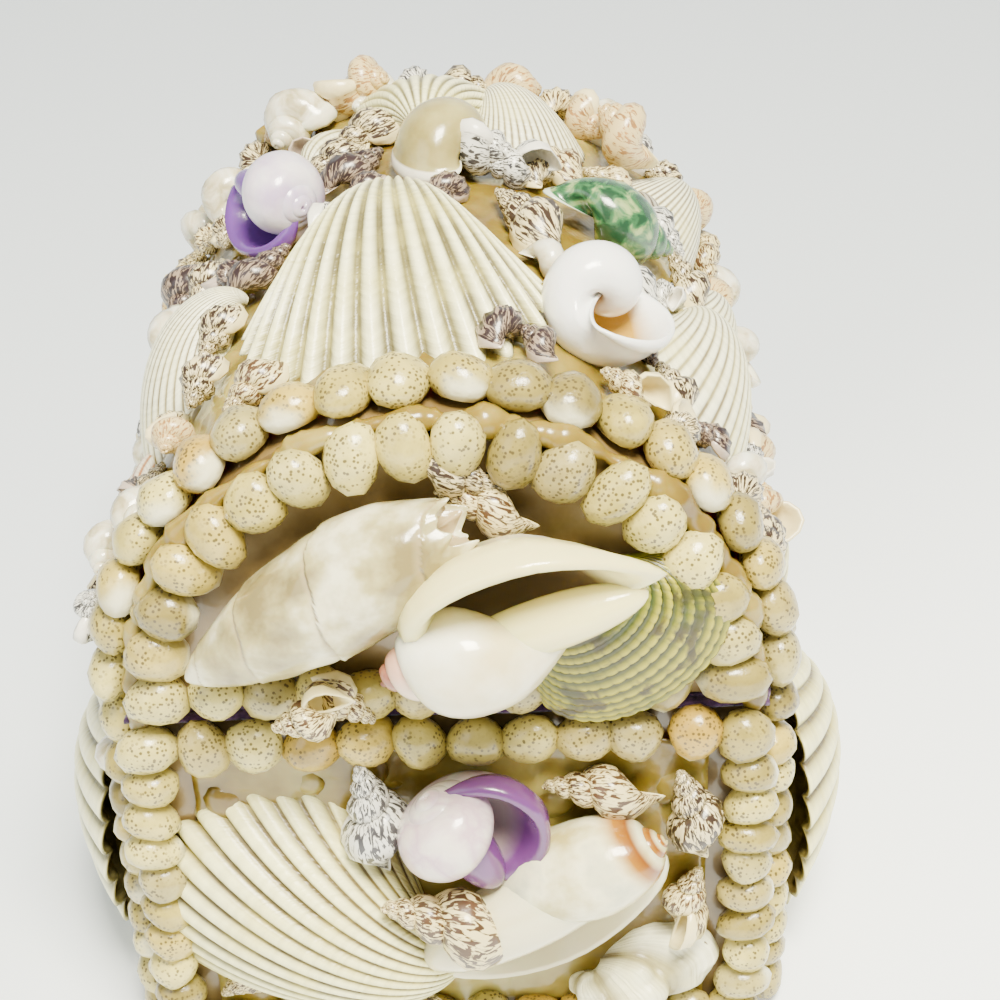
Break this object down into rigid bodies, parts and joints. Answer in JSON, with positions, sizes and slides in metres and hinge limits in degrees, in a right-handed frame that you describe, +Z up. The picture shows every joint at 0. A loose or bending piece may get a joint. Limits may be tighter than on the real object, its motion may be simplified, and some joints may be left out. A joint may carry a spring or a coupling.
{
  "type": "shell box",
  "caption": "Small keepsake box with a half-barrel lift-off lid, felt lined, covered all over in glued sea shells with borders of round button shells.",
  "frame": {"origin": "middle of the flat underside of the board body, at table level", "axes": "+Z up, -Y out of the show end (the end with the large conch and the ark shell), +X to the right when looking at that end"},
  "size_m": [0.1176, 0.1432, 0.1277],
  "materials": {
    "board": "thin board under a skin of dried yellow-brown glue",
    "felt": "dark plum felt",
    "button_shell": "glossy cream and beige with fine dark speckle",
    "chalk_shell": "satin yellowish white, greyer in the grooves",
    "pearl_shell": "glossy translucent beige and cream",
    "mauve_shell": "pinkish white with a glossy violet mouth",
    "green_shell": "glossy yellow green with brown patches",
    "jade_shell": "glossy green with pale flecks",
    "freckled_shell": "satin cream with bands of dark brown specks"
  },
  "bodies": {
    "root": {"box_body": "board", "barrel_lid": "board", "body_felt": "felt", "lid_felt": "felt", "front_arch_row": "button_shell", "front_edge_row": "button_shell", "front_rim_row": "button_shell", "front_base_row": "button_shell", "back_arch_row": "button_shell", "back_edge_row": "button_shell", "back_rim_row": "button_shell", "back_base_row": "button_shell", "front_sill_row": "button_shell", "left_rim_row": "button_shell", "left_base_row": "button_shell", "right_rim_row": "button_shell", "right_base_row": "button_shell", "front_left_corner": "button_shell", "front_right_corner": "button_shell", "back_left_corner": "button_shell", "back_right_corner": "button_shell", "front_conch": "pearl_shell", "long_cerith": "pearl_shell", "green_ribbed_shell": "green_shell", "whelk_over_cerith": "freckled_shell", "whelk_under_cerith": "freckled_shell", "front_ark": "chalk_shell", "body_conch": "pearl_shell", "mauve_snail": "mauve_shell", "grey_whelk": "freckled_shell", "front_whelk": "freckled_shell", "upper_whelk": "freckled_shell", "edge_whelk": "freckled_shell", "lower_edge_whelk": "freckled_shell", "white_shell": "chalk_shell", "foot_whelk": "freckled_shell", "big_cockle": "chalk_shell", "left_cockle": "chalk_shell", "white_moon": "chalk_shell", "green_turban": "jade_shell", "violet_snail": "mauve_shell", "olive_moon": "pearl_shell", "fine_clam": "chalk_shell", "crown_cockle": "chalk_shell", "speckled_whelk": "freckled_shell", "grey_barrel_whelk": "freckled_shell", "smooth_clam": "chalk_shell", "lined_cockle": "chalk_shell", "right_cockle": "chalk_shell", "right_whelk": "freckled_shell", "left_front_ark": "chalk_shell", "left_back_ark": "chalk_shell", "right_front_ark": "chalk_shell", "right_back_ark": "chalk_shell", "back_cockle": "chalk_shell", "back_lid_cockle": "chalk_shell"}
  },
  "joints": []
}
